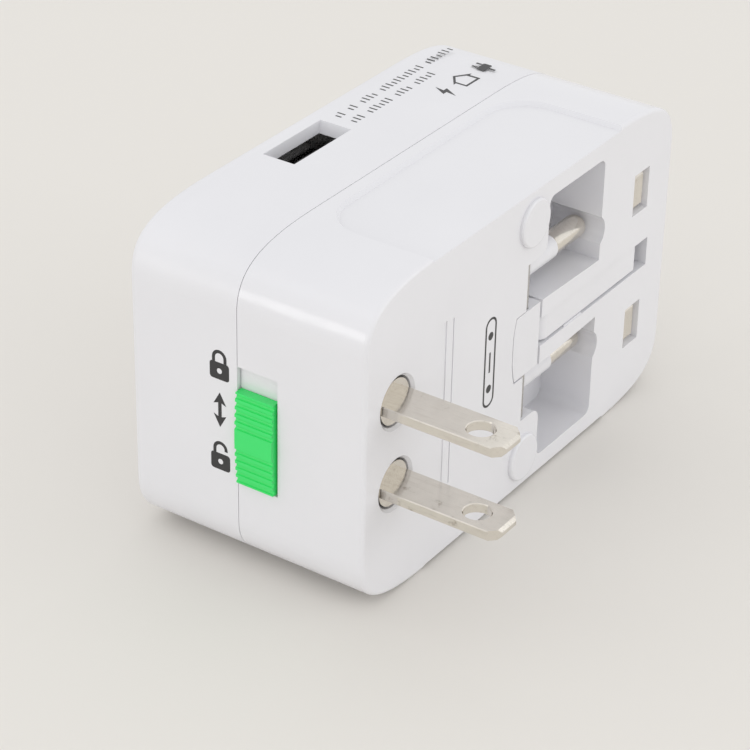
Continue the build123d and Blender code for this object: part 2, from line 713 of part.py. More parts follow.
def us_blade(side):
    """Flat blade on a round rotor, riveted so that it can twist in the carrier."""
    z = side * US_Z
    with BuildPart() as blade:
        with BuildSketch(level_plane(z - US_BLADE_THICK / 2)):
            with Locations((US_X, (BLADE_ROOT - BLADE_OUT) / 2)):
                Rectangle(US_BLADE_WIDE, BLADE_ROOT + BLADE_OUT)
            chamfer(vertices().sort_by(Axis.Y)[0:2], BLADE_BEVEL)
            with Locations((US_X, BLADE_HOLE_FROM_TIP - BLADE_OUT)):
                Circle(BLADE_HOLE_R, mode=Mode.SUBTRACT)
        extrude(amount=US_BLADE_THICK)
        chamfer(blade.edges().filter_by(Axis.X).group_by(Axis.Y)[0], BLADE_TIP_EDGE)
        chamfer(blade.edges().filter_by(Axis.Y), BLADE_EDGE)
        chamfer(blade.edges().filter_by(GeomType.CIRCLE), BLADE_EDGE)
        rod_deep(US_X, z, ROTOR_R, *ROTOR_DEPTH)
        rod_deep(US_X, z, RIVET_R, ROTOR_DEPTH[1] - OVERLAP, RIVET_END)
        rod_deep(US_X, z, RIVET_HEAD_R, US_CARRIER_DEPTH[1] + RUNNING, RIVET_END)
    return blade


us_blade_live = us_blade(1)
save(us_blade_live, "us_blade_live")
us_blade_neutral = us_blade(-1)
save(us_blade_neutral, "us_blade_neutral")

with BuildPart() as us_carrier:
    block(
        US_X - US_CARRIER_HALF_X,
        US_X + US_CARRIER_HALF_X,
        *US_CARRIER_DEPTH,
        -US_CARRIER_HALF_Z,
        US_CARRIER_HALF_Z,
    )
    for side in (1, -1):
        rod_deep(
            US_X,
            side * US_Z,
            RIVET_R + RUNNING,
            US_CARRIER_DEPTH[0] - PAST,
            US_CARRIER_DEPTH[1] + PAST,
            Mode.SUBTRACT,
        )
save(us_carrier, "us_carrier")

# ---------------------------------------------------------------- plug module's wiring
BUS_DEPTH = (12.0, 12.6)
BUS_Z = (12.4, 14.9)
BUS_X = (-27.9, 27.2)
TAB_THICK = 0.6
CLIP_LEAF = 0.5
CLIP_DEPTH = 18.6
CLIP_GAP = 0.1
US_TAB_Z = 9.4
US_TAB_DEPTH = 3.0
UK_TAB_DEPTH = 4.0


def bus_strip(side):
    """Brass strip from the link clip to the two sliding carriages, with an upright tab at each end."""
    z0, z1 = sorted((side * BUS_Z[0], side * BUS_Z[1]))
    clip_gap = (LINK_Z[0] - CLIP_GAP, LINK_Z[1] + CLIP_GAP)
    with BuildPart() as strip:
        block(*BUS_X, *BUS_DEPTH, z0, z1)
        us_tab = sorted((side * US_TAB_Z, side * BUS_Z[1]))
        block(BUS_X[0], BUS_X[0] + TAB_THICK, US_TAB_DEPTH, BUS_DEPTH[1], *us_tab)
        block(BUS_X[1] - TAB_THICK, BUS_X[1], UK_TAB_DEPTH, BUS_DEPTH[1], z0, z1)
        for leaf in ((clip_gap[0] - CLIP_LEAF, clip_gap[0]), (clip_gap[1], clip_gap[1] + CLIP_LEAF)):
            block(*LINK_X, BUS_DEPTH[0], CLIP_DEPTH, *sorted((side * leaf[0], side * leaf[1])))
    return strip


bus_strip_live = bus_strip(1)
save(bus_strip_live, "bus_strip_live")
bus_strip_neutral = bus_strip(-1)
save(bus_strip_neutral, "bus_strip_neutral")

# ---------------------------------------------------------------- socket shell
SOCKET_BACK = TOTAL_DEPTH
BACK_INNER = TOTAL_DEPTH - WALL
FACE_PLATE_X = (-3.0, 33.4)
FACE_PLATE_HALF_Z = 16.4
FACE_PLATE_CORNER = 6.0
FACE_PLATE_GAP = 0.1
FACE_PLATE_EDGE = 0.4
FACE_PLATE_DEPTH = (35.8, 38.3)
FLANGE_DEPTH = 36.75
FLANGE_WIDE = 0.9
USB_X = (-13.3, -0.2)
USB_DEPTH = (30.0, 35.7)
USB_SHEET = 0.35
USB_MOUTH = (13.6, 5.3)
USB_THROAT = (12.4, 4.9)
LED_PLACE = (-20.0, 4.0)
LED_R = 1.5
KEEPER_Z = (2.8, 9.0)
KEEPER_PROUD = 1.1
SOCKET_SCREWS = [(-24.0, 18.9), (-24.0, -18.9), (11.0, 20.1), (11.0, -20.1)]
BASE_THICK = 1.5
BASE_BACK = PLUG_DEPTH + BASE_THICK

with BuildPart() as socket_shell:
    with BuildSketch(face_plane(SOCKET_BACK)):
        add(body_outline(0))
    extrude(amount=SOCKET_DEPTH)
    fillet(socket_shell.faces().sort_by(Axis.Y)[-1].edges(), BACK_EDGE)
    with BuildSketch(face_plane(BACK_INNER)):
        add(body_outline(WALL))
    extrude(amount=SOCKET_DEPTH - WALL, mode=Mode.SUBTRACT)
    face_plate_centre = (sum(FACE_PLATE_X) / 2, 0)
    with BuildSketch(face_plane(SOCKET_BACK + PAST)):
        with Locations(face_plate_centre):
            RectangleRounded(
                FACE_PLATE_X[1] - FACE_PLATE_X[0] + 2 * FACE_PLATE_GAP,
                2 * FACE_PLATE_HALF_Z + 2 * FACE_PLATE_GAP,
                FACE_PLATE_CORNER,
            )
    extrude(amount=WALL + 2 * PAST, mode=Mode.SUBTRACT)
    # USB mouth, tapering in through the top wall.
    usb_centre = (sum(USB_X) / 2, sum(USB_DEPTH) / 2)
    with BuildSketch(level_plane(TOP_Z)):
        with Locations(usb_centre):
            Rectangle(*USB_MOUTH)
    with BuildSketch(level_plane(TOP_Z - WALL)):
        with Locations(usb_centre):
            Rectangle(*USB_THROAT)
    loft(mode=Mode.SUBTRACT)
    rod_deep(*LED_PLACE, LED_R, BACK_INNER - PAST, SOCKET_BACK + PAST, Mode.SUBTRACT)
    # Keeper rib that the lock hook slides behind.
    block(-INNER_X - WALL / 2, -INNER_X + KEEPER_PROUD, PLUG_DEPTH, BASE_BACK, *KEEPER_Z)
    for x, z in SOCKET_SCREWS:
        rod_deep(x, z, BOSS_R, BASE_BACK, BACK_INNER + OVERLAP)
        rod_deep(x, z, SCREW_R, BASE_BACK, BASE_BACK + SCREW_THREAD, Mode.SUBTRACT)
save(socket_shell, "socket_shell")

# ---------------------------------------------------------------- socket base plate
US_OPENING_X = US_X + US_CARRIER_HALF_X + CARRIAGE_CLEARANCE
US_OPENING_Z = US_CARRIER_HALF_Z + CARRIAGE_CLEARANCE
UK_WELL_LEFT = 26.2
BOARD_DEPTH = (28.4, 30.0)
LINK_FIT = 0.3
POST_R = 1.5
CONTACT_PASS_HALF = 2.3
CONTACT_PASS_Z = (6.9, 14.4)
UK_WELL_HALF_Z = 15.9
UK_WELL_GAP = 0.4
UK_WELL_FLOOR_THICK = 0.7
UK_WELL_FLOOR = UK_CARRIER_FRONT + UK_CARRIER_THICK + UK_WELL_GAP
UK_WELL_BACK = UK_WELL_FLOOR + UK_WELL_FLOOR_THICK
BOARD_POSTS = [(-33.0, 14.0), (-33.0, -14.0), (-3.0, 11.8), (-3.0, -11.8)]

with BuildPart() as base_plate:
    with BuildSketch(face_plane(BASE_BACK)):
        add(body_outline(WALL))
    extrude(amount=BASE_THICK)
    block(UK_WELL_LEFT, INNER_X, PLUG_DEPTH + BASE_THICK / 3, UK_WELL_BACK, -UK_WELL_HALF_Z, UK_WELL_HALF_Z)
    with BuildSketch(face_plane(UK_WELL_FLOOR)):
        add(uk_carrier_profile(CARRIAGE_CLEARANCE))
    extrude(amount=UK_WELL_FLOOR, mode=Mode.SUBTRACT)
    block(
        -INNER_X - PAST,
        US_OPENING_X,
        PLUG_DEPTH - PAST,
        BASE_BACK + PAST,
        -US_OPENING_Z,
        US_OPENING_Z,
        Mode.SUBTRACT,
    )
    block(
        SOCKET_EARTH_X - EARTH_PASS_HALF,
        SOCKET_EARTH_X + EARTH_PASS_HALF,
        PLUG_DEPTH - PAST,
        UK_WELL_BACK + PAST,
        -SLOT_HALF_Z,
        SLOT_HALF_Z,
        Mode.SUBTRACT,
    )
    for side in (1, -1):
        pin_x = (SOCKET_X - CONTACT_PASS_HALF, SOCKET_X + CONTACT_PASS_HALF)
        pin_z = sorted((side * CONTACT_PASS_Z[0], side * CONTACT_PASS_Z[1]))
        block(*pin_x, PLUG_DEPTH - PAST, BASE_BACK + PAST, *pin_z, Mode.SUBTRACT)
        link_z = sorted((side * (LINK_Z[0] - LINK_FIT), side * (LINK_Z[1] + LINK_FIT)))
        link_x = (LINK_X[0] - LINK_FIT, LINK_X[1] + LINK_FIT)
        block(*link_x, PLUG_DEPTH - PAST, BASE_BACK + PAST, *link_z, Mode.SUBTRACT)
    for x, z in BOARD_POSTS:
        rod_deep(x, z, POST_R, BASE_BACK, BOARD_DEPTH[0])
    for x, z in SOCKET_SCREWS:
        rod_deep(x, z, SCREW_R, PLUG_DEPTH - PAST, BASE_BACK + PAST, Mode.SUBTRACT)
        with Locations(Location(point(x, PLUG_DEPTH + SCREW_HEAD_HIGH / 2, z), (90, 0, 0))):
            Cone(SCREW_R, SCREW_HEAD_R, SCREW_HEAD_HIGH, mode=Mode.SUBTRACT)
save(base_plate, "base_plate")

with BuildPart() as base_screws:
    for x, z in SOCKET_SCREWS:
        with Locations(Location(point(x, PLUG_DEPTH + SCREW_HEAD_HIGH / 2, z), (90, 0, 0))):
            Cone(SCREW_R, SCREW_HEAD_R, SCREW_HEAD_HIGH)
        rod_deep(x, z, SCREW_R, PLUG_DEPTH + SCREW_HEAD_HIGH - OVERLAP, BASE_BACK + SCREW_THREAD - PAST)
        driver_slot(x, z, PLUG_DEPTH - PAST, PLUG_DEPTH + DRIVER_SLOT[2])
save(base_screws, "base_screws")

# ---------------------------------------------------------------- socket face plate and shutter
SHUTTER_DEPTH = (34.7, 35.7)
SHUTTER_X = (1.2, 29.6)
SHUTTER_HALF_Z = 15.0
SPRING_Z = -8.0
SPRING_WINDOW_X = (9.6, 25.1)
POST_X = (23.6, 25.0)
SPRING_R = 1.0
SPRING_DEPTH = 33.9
SPRING_WIRE = 0.2
SPRING_TURNS = 9
SPRING_GAP = 0.05
UK_HOLE = (4.4, 6.8)
EU_HOLE_R = 2.5
FLAT_HOLE = (6.8, 2.0)
SLANT_HOLE = (2.0, 7.0)
SLANT_PLACE = (SOCKET_X - 0.6, 7.4)
SLANT_ANGLE = 60
EARTH_HOLE = (8.5, 4.5)
RAIL_X = (0.3, 31.0)
RAIL_WIDE = 1.0
RAIL_GAP = 0.2
RAIL_DROP = 0.8
SPRING_SEAT = 1.4
SPRING_WINDOW_HALF = 2.2
SPRING_STOP = 1.2
RAMP_HALF_Z = 2.0
RAMP_DROP = 4.5
RAMP_START = 3.8
RAMP_SEAT = 0.3


def socket_holes():
    """Live and neutral openings that take rectangular, round, flat and slanted pins, and the earth hole."""
    with BuildSketch() as holes:
        for side in (1, -1):
            with Locations((SOCKET_X, side * UK_PIN_Z)):
                Rectangle(*UK_HOLE)
            with Locations((SOCKET_X, side * EU_Z)):
                Circle(EU_HOLE_R)
            with Locations((SOCKET_X, side * US_Z)):
                Rectangle(*FLAT_HOLE)
            with Locations(Location((SLANT_PLACE[0], side * SLANT_PLACE[1], 0), (0, 0, side * SLANT_ANGLE))):
                Rectangle(*SLANT_HOLE)
        with Locations((SOCKET_EARTH_X, 0)):
            Rectangle(*EARTH_HOLE)
    return holes.sketch


with BuildPart() as socket_face_plate:
    with BuildSketch(face_plane(FACE_PLATE_DEPTH[1])):
        with Locations(face_plate_centre):
            RectangleRounded(
                FACE_PLATE_X[1] - FACE_PLATE_X[0],
                2 * FACE_PLATE_HALF_Z,
                FACE_PLATE_CORNER - FACE_PLATE_GAP,
            )
    extrude(amount=FACE_PLATE_DEPTH[1] - FACE_PLATE_DEPTH[0])
    fillet(socket_face_plate.faces().sort_by(Axis.Y)[-1].edges(), FACE_PLATE_EDGE)
    with BuildSketch(face_plane(FLANGE_DEPTH)):
        with Locations(face_plate_centre):
            RectangleRounded(
                FACE_PLATE_X[1] - FACE_PLATE_X[0] + 2 * FLANGE_WIDE,
                2 * (FACE_PLATE_HALF_Z + FLANGE_WIDE),
                FACE_PLATE_CORNER,
            )
    extrude(amount=FLANGE_DEPTH - FACE_PLATE_DEPTH[0])
    with BuildSketch(face_plane(FACE_PLATE_DEPTH[1] + PAST)):
        add(socket_holes())
    extrude(amount=CUT_REACH, mode=Mode.SUBTRACT)
    for side in (1, -1):
        rail_inner = SHUTTER_HALF_Z + RAIL_GAP
        rail_z = sorted((side * rail_inner, side * (rail_inner + RAIL_WIDE)))
        block(*RAIL_X, SHUTTER_DEPTH[0] - RAIL_DROP, FACE_PLATE_DEPTH[0] + OVERLAP, *rail_z)
    block(
        *POST_X,
        SPRING_DEPTH - SPRING_SEAT,
        FACE_PLATE_DEPTH[0] + OVERLAP,
        SPRING_Z - SPRING_SEAT,
        SPRING_Z + SPRING_SEAT,
    )
save(socket_face_plate, "socket_face_plate")

with BuildPart() as socket_shutter:
    block(*SHUTTER_X, *SHUTTER_DEPTH, -SHUTTER_HALF_Z, SHUTTER_HALF_Z)
    block(
        *SPRING_WINDOW_X,
        SHUTTER_DEPTH[0] - PAST,
        SHUTTER_DEPTH[1] + PAST,
        SPRING_Z - SPRING_WINDOW_HALF,
        SPRING_Z + SPRING_WINDOW_HALF,
        Mode.SUBTRACT,
    )
    with BuildSketch(level_plane(-RAMP_HALF_Z)):
        with BuildLine():
            Polyline(
                (SOCKET_EARTH_X - RAMP_START, SHUTTER_DEPTH[0] + RAMP_SEAT),
                (SHUTTER_X[1], SHUTTER_DEPTH[0] + RAMP_SEAT),
                (SHUTTER_X[1], SHUTTER_DEPTH[0] - RAMP_DROP),
                close=True,
            )
        make_face()
    extrude(amount=2 * RAMP_HALF_Z)
    block(
        SPRING_WINDOW_X[0] - SPRING_STOP,
        SPRING_WINDOW_X[0],
        SPRING_DEPTH - SPRING_STOP,
        SHUTTER_DEPTH[0] + OVERLAP,
        SPRING_Z - SPRING_SEAT,
        SPRING_Z + SPRING_SEAT,
    )
save(socket_shutter, "socket_shutter")

with BuildPart() as shutter_spring:
    spring_start = point(SPRING_WINDOW_X[0] + SPRING_WIRE + SPRING_GAP, SPRING_DEPTH, SPRING_Z)
    spring_length = POST_X[0] - SPRING_WINDOW_X[0] - 2 * (SPRING_WIRE + SPRING_GAP)
    with BuildLine() as coil:
        Helix(
            pitch=spring_length / SPRING_TURNS,
            height=spring_length,
            radius=SPRING_R,
            center=spring_start,
            direction=(1, 0, 0),
        )
    with BuildSketch(Plane(origin=coil.line @ 0, z_dir=coil.line % 0)):
        Circle(SPRING_WIRE)
    sweep(path=coil.line)
save(shutter_spring, "shutter_spring")

# ---------------------------------------------------------------- contacts and links
CONTACT_LEAF = 0.5
CONTACT_GAP = UK_PIN_THICK / 2 + CARRIAGE_CLEARANCE
CONTACT_DEPTH = (BASE_BACK, 33.2)
CONTACT_Z = (5.6, 14.7)
TAIL_DEPTH = (23.0, 27.0)
LINK_TIP_DEPTH = 15.4
LINK_TIP_EDGE = 0.25
WEB_DEPTH = (BASE_BACK + 0.5, 27.0)


def socket_contact(side):
    """Folded brass contact: two leaves beside the pin's path and a tail to the link blade."""
    leaf_z = sorted((side * CONTACT_Z[0], side * CONTACT_Z[1]))
    web_z = sorted((side * (CONTACT_Z[1] - CONTACT_LEAF), side * CONTACT_Z[1]))
    inner = CONTACT_GAP
    outer = CONTACT_GAP + CONTACT_LEAF
    with BuildPart() as contact:
        block(SOCKET_X - outer, SOCKET_X - inner, *CONTACT_DEPTH, *leaf_z)
        block(SOCKET_X + inner, SOCKET_X + outer, *CONTACT_DEPTH, *leaf_z)
        block(SOCKET_X - outer, SOCKET_X + outer, *WEB_DEPTH, *web_z)
        block(LINK_X[0], SOCKET_X, *TAIL_DEPTH, *web_z)
    return contact


contact_live = socket_contact(1)
save(contact_live, "contact_live")
contact_neutral = socket_contact(-1)
save(contact_neutral, "contact_neutral")


def link_blade(side):
    """Flat blade that carries the supply from the plug module into the socket module."""
    with BuildPart() as blade:
        block(*LINK_X, LINK_TIP_DEPTH, TAIL_DEPTH[1], *sorted((side * LINK_Z[0], side * LINK_Z[1])))
        chamfer(blade.faces().sort_by(Axis.Y)[0].edges().filter_by(Axis.X), LINK_TIP_EDGE)
    return blade


link_blade_live = link_blade(1)
save(link_blade_live, "link_blade_live")
link_blade_neutral = link_blade(-1)
save(link_blade_neutral, "link_blade_neutral")

# ---------------------------------------------------------------- USB charger
USB_PORT_Z = (8.5, TOP_Z - WALL)
TONGUE_X = (-12.3, -1.2)
TONGUE_DEPTH = (33.0, 34.8)
BOARD_FACE = BOARD_DEPTH[1]
BOARD_X = (-37.0, 0.4)
BOARD_HALF_Z = 15.8
BOARD_TAB_X = (-14.5, 0.4)
BOARD_TAB_Z = 21.8
TONGUE_TOP_Z = 20.6
TONGUE_BASE_HIGH = 2.4
USB_CONTACT_COUNT = 4
USB_CONTACT_PITCH = 2.4
USB_CONTACT_WIDE = 1.2
USB_CONTACT_THICK = 0.2
USB_CONTACT_TOP_Z = 20.0
TRANSFORMER_X = -29.4
TRANSFORMER_Z = -8.0
CORE_SIZE = (12.0, 5.0, 9.2)
BOBBIN_SIZE = (14.0, 1.4, 12.0)
WINDING_SIZE = (8.0, 5.8, 12.0)
FILM_SIZE = (12.0, 6.0, 6.0)
FILM_PLACE = (-29.0, 5.2)
FILM_ROUND = 0.8
CAN_R = 3.0
CAN_Z = (-13.0, -2.6)
CAN_X = (-18.6, -11.0)
LED_FLANGE = (0.5, 1.0)
LED_ROUND = 0.5

def on_board(x, z, size):
    """A box of this size along the length, depth and height that stands on the charger board."""
    half_x = size[0] / 2
    half_z = size[2] / 2
    block(x - half_x, x + half_x, BOARD_FACE, BOARD_FACE + size[1], z - half_z, z + half_z)


with BuildPart() as charger_board:
    block(*BOARD_X, *BOARD_DEPTH, -BOARD_HALF_Z, BOARD_HALF_Z)
    block(*BOARD_TAB_X, *BOARD_DEPTH, BOARD_HALF_Z - PAST, BOARD_TAB_Z)
save(charger_board, "charger_board")

with BuildPart() as usb_port_shell:
    block(*USB_X, *USB_DEPTH, *USB_PORT_Z)
    block(
        USB_X[0] + USB_SHEET,
        USB_X[1] - USB_SHEET,
        USB_DEPTH[0] + USB_SHEET,
        USB_DEPTH[1] - USB_SHEET,
        USB_PORT_Z[0] + USB_SHEET,
        USB_PORT_Z[1] + PAST,
        Mode.SUBTRACT,
    )
save(usb_port_shell, "usb_port_shell")

with BuildPart() as usb_tongue:
    block(*TONGUE_X, *TONGUE_DEPTH, USB_PORT_Z[0] + USB_SHEET, TONGUE_TOP_Z)
    block(
        USB_X[0] + USB_SHEET,
        USB_X[1] - USB_SHEET,
        USB_DEPTH[0] + USB_SHEET,
        USB_DEPTH[1] - USB_SHEET,
        USB_PORT_Z[0] + USB_SHEET,
        USB_PORT_Z[0] + TONGUE_BASE_HIGH,
    )
save(usb_tongue, "usb_tongue")

with BuildPart() as usb_contacts:
    for index in range(USB_CONTACT_COUNT):
        contact_x = sum(TONGUE_X) / 2 + (index - (USB_CONTACT_COUNT - 1) / 2) * USB_CONTACT_PITCH
        block(
            contact_x - USB_CONTACT_WIDE / 2,
            contact_x + USB_CONTACT_WIDE / 2,
            TONGUE_DEPTH[0] - USB_CONTACT_THICK,
            TONGUE_DEPTH[0],
            USB_PORT_Z[0] + TONGUE_BASE_HIGH,
            USB_CONTACT_TOP_Z,
        )
save(usb_contacts, "usb_contacts")

with BuildPart() as transformer:
    for size in (CORE_SIZE, BOBBIN_SIZE, WINDING_SIZE):
        on_board(TRANSFORMER_X, TRANSFORMER_Z, size)
save(transformer, "transformer")

with BuildPart() as film_capacitor:
    on_board(*FILM_PLACE, FILM_SIZE)
    fillet(film_capacitor.edges().filter_by(Axis.Y), FILM_ROUND)
save(film_capacitor, "film_capacitor")

with BuildPart() as electrolytic_capacitors:
    for can_x in CAN_X:
        rod_high(can_x, BOARD_FACE + CAN_R, CAN_R, *CAN_Z)
save(electrolytic_capacitors, "electrolytic_capacitors")

with BuildPart() as indicator_led:
    rod_deep(*LED_PLACE, LED_R - RUNNING, BOARD_FACE, SOCKET_BACK + OVERLAP)
    rod_deep(*LED_PLACE, LED_R + LED_FLANGE[0], BOARD_FACE, BOARD_FACE + LED_FLANGE[1])
    fillet(indicator_led.faces().sort_by(Axis.Y)[-1].edges(), LED_ROUND)
save(indicator_led, "indicator_led")

FUSE_X = -18.0
FUSE_DEPTH = 25.4
FUSE_R = 2.3
FUSE_CAP_R = 2.5
FUSE_CAP_Z = (5.5, 10.0)
FUSE_CLIP_Z = (6.5, 9.5)
CLIP_HALF = 3.1
CLIP_LIP = 1.0
CLIP_MOUTH = 1.9

with BuildPart() as fuse:
    rod_high(FUSE_X, FUSE_DEPTH, FUSE_R, -FUSE_CAP_Z[1], FUSE_CAP_Z[1])
    for side in (1, -1):
        rod_high(FUSE_X, FUSE_DEPTH, FUSE_CAP_R, *sorted((side * FUSE_CAP_Z[0], side * FUSE_CAP_Z[1])))
save(fuse, "fuse")

with BuildPart() as fuse_clips:
    for side in (1, -1):
        clip_z = sorted((side * FUSE_CLIP_Z[0], side * FUSE_CLIP_Z[1]))
        cut_z = (clip_z[0] - PAST, clip_z[1] + PAST)
        block(FUSE_X - CLIP_HALF, FUSE_X + CLIP_HALF, FUSE_DEPTH - CLIP_LIP, BOARD_DEPTH[0], *clip_z)
        rod_high(FUSE_X, FUSE_DEPTH, FUSE_CAP_R, *cut_z, Mode.SUBTRACT)
        block(
            FUSE_X - CLIP_MOUTH,
            FUSE_X + CLIP_MOUTH,
            FUSE_DEPTH - 2 * CLIP_LIP,
            FUSE_DEPTH,
            *cut_z,
            Mode.SUBTRACT,
        )
save(fuse_clips, "fuse_clips")
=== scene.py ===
import math

import bmesh
import bpy
from mathutils import Matrix, Vector


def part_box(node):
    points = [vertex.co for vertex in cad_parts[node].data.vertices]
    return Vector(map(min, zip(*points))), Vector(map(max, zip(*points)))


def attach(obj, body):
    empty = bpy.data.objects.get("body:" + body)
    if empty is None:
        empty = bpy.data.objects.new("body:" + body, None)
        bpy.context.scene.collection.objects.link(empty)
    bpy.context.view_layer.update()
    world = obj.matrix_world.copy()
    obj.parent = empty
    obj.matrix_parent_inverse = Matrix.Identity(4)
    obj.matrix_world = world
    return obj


# Universal travel adapter: materials, printed marks and a plain studio around the CAD frame.
# Metres, +Z up. The plug face looks along -Y and the socket face along +Y.

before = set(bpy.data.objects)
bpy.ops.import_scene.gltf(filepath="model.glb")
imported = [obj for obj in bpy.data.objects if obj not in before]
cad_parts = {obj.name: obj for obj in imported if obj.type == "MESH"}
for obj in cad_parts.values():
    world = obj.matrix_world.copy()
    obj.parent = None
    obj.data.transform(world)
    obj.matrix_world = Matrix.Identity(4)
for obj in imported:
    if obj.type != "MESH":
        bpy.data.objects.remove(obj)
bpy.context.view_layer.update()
MM = 0.001

# ---------------------------------------------------------------- places worked out from the frame
plug_low, plug_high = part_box("plug_shell")
socket_low, socket_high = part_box("socket_shell")
mid_z = (plug_low.z + plug_high.z) / 2
PAD_HEIGHT = 0.6 * MM
plug_face_y = plug_low.y + PAD_HEIGHT


# ---------------------------------------------------------------- material helpers
def new_material(name):
    """An empty node material and its Principled shader."""
    material = bpy.data.materials.new(name)
    material.use_nodes = True
    tree = material.node_tree
    tree.nodes.clear()
    output = tree.nodes.new("ShaderNodeOutputMaterial")
    shader = tree.nodes.new("ShaderNodeBsdfPrincipled")
    tree.links.new(shader.outputs["BSDF"], output.inputs["Surface"])
    return material, tree, shader


def noise(tree, scale, detail=3.0, roughness=0.5, stretch=(1, 1, 1)):
    """Noise in object coordinates, in features per metre along each axis."""
    coordinates = tree.nodes.new("ShaderNodeTexCoord")
    mapping = tree.nodes.new("ShaderNodeMapping")
    mapping.inputs["Scale"].default_value = stretch
    texture = tree.nodes.new("ShaderNodeTexNoise")
    texture.inputs["Scale"].default_value = scale
    texture.inputs["Detail"].default_value = detail
    texture.inputs["Roughness"].default_value = roughness
    tree.links.new(coordinates.outputs["Object"], mapping.inputs["Vector"])
    tree.links.new(mapping.outputs["Vector"], texture.inputs["Vector"])
    return texture.outputs["Fac"]


def ramp(tree, source, stops):
    """A colour ramp over a value; stops are (position, colour)."""
    node = tree.nodes.new("ShaderNodeValToRGB")
    elements = node.color_ramp.elements
    while len(elements) < len(stops):
        elements.new(0.5)
    for element, (position, colour) in zip(elements, stops):
        element.position = position
        element.color = (*colour, 1)
    tree.links.new(source, node.inputs["Fac"])
    return node.outputs["Color"]


def spread(tree, source, low, high):
    """A value from low to high as the source goes from 0.3 to 0.7."""
    node = tree.nodes.new("ShaderNodeMapRange")
    node.inputs["From Min"].default_value = 0.3
    node.inputs["From Max"].default_value = 0.7
    node.inputs["To Min"].default_value = low
    node.inputs["To Max"].default_value = high
    tree.links.new(source, node.inputs["Value"])
    return node.outputs["Result"]


def bump(tree, shader, source, height, before=None):
    """Adds relief of a height in metres, on top of an earlier bump if there is one."""
    node = tree.nodes.new("ShaderNodeBump")
    node.inputs["Distance"].default_value = height
    tree.links.new(source, node.inputs["Height"])
    if before is not None:
        tree.links.new(before.outputs["Normal"], node.inputs["Normal"])
    tree.links.new(node.outputs["Normal"], shader.inputs["Normal"])
    return node


def tint(colour, factor):
    """A darker or lighter version of a colour."""
    return tuple(channel * factor for channel in colour)


CLOUD_SCALE = 60
GLOSS_SCALE = 350
WAVE_SCALE = 45
GRAIN_SCALE = 9000
STAIN_SCALE = 420
SCRATCH_SCALE = 2600
DENT_SCALE = 900
PLASTIC_IOR = 1.53
COAT_ROUGHNESS = 0.12
WAVE_HEIGHT = 0.00002
GLOSS_SPREAD = 0.03


def plastic(name, colour, gloss, grain=0.000002, coat=0.0):
    """Moulded plastic: faint flow clouding, uneven gloss, fine spark-eroded grain and a slight waviness."""
    material, tree, shader = new_material(name)
    clouds = noise(tree, CLOUD_SCALE, 4)
    tone = ramp(tree, clouds, [(0.3, tint(colour, 0.985)), (0.7, tint(colour, 1.01))])
    tree.links.new(tone, shader.inputs["Base Color"])
    patches = noise(tree, GLOSS_SCALE, 5)
    uneven = spread(tree, patches, gloss - GLOSS_SPREAD, gloss + GLOSS_SPREAD)
    tree.links.new(uneven, shader.inputs["Roughness"])
    shader.inputs["IOR"].default_value = PLASTIC_IOR
    shader.inputs["Coat Weight"].default_value = coat
    shader.inputs["Coat Roughness"].default_value = COAT_ROUGHNESS
    waviness = bump(tree, shader, noise(tree, WAVE_SCALE, 1), WAVE_HEIGHT)
    bump(tree, shader, noise(tree, GRAIN_SCALE, 2), grain, waviness)
    return material


STREAK = (0.91, 0.9, 0.89)
SCRATCH_HEIGHT = 0.000004
GLOSS_RANGE = (-0.05, 0.07)
FIRST_COLOUR, SECOND_COLOUR, MIXED_COLOUR = 6, 7, 2


def metal(name, colour, gloss, scratch_axis=(1, 1, 1), worn=None):
    """Plated metal: drawn scratches, cloudy tarnish and small dull spots."""
    material, tree, shader = new_material(name)
    stains = noise(tree, STAIN_SCALE, 6, 0.62)
    dark = worn or tint(colour, 0.72)
    tone = ramp(tree, stains, [(0.29, dark), (0.38, tint(colour, 0.93)), (0.7, colour)])
    lines = noise(tree, SCRATCH_SCALE, 3, 0.6, scratch_axis)
    streaks = ramp(tree, lines, [(0.3, STREAK), (0.45, (1, 1, 1))])
    blend = tree.nodes.new("ShaderNodeMix")
    blend.data_type = "RGBA"
    blend.blend_type = "MULTIPLY"
    blend.inputs["Factor"].default_value = 1.0
    tree.links.new(tone, blend.inputs[FIRST_COLOUR])
    tree.links.new(streaks, blend.inputs[SECOND_COLOUR])
    tree.links.new(blend.outputs[MIXED_COLOUR], shader.inputs["Base Color"])
    shader.inputs["Metallic"].default_value = 1.0
    uneven = spread(tree, lines, gloss + GLOSS_RANGE[0], gloss + GLOSS_RANGE[1])
    tree.links.new(uneven, shader.inputs["Roughness"])
    relief = bump(tree, shader, lines, SCRATCH_HEIGHT)
    bump(tree, shader, noise(tree, DENT_SCALE, 2), SCRATCH_HEIGHT, relief)
    return material


# ---------------------------------------------------------------- materials
WHITE = (0.77, 0.768, 0.795)
GREEN = (0.037, 0.75, 0.155)
NICKEL = (0.77, 0.73, 0.665)

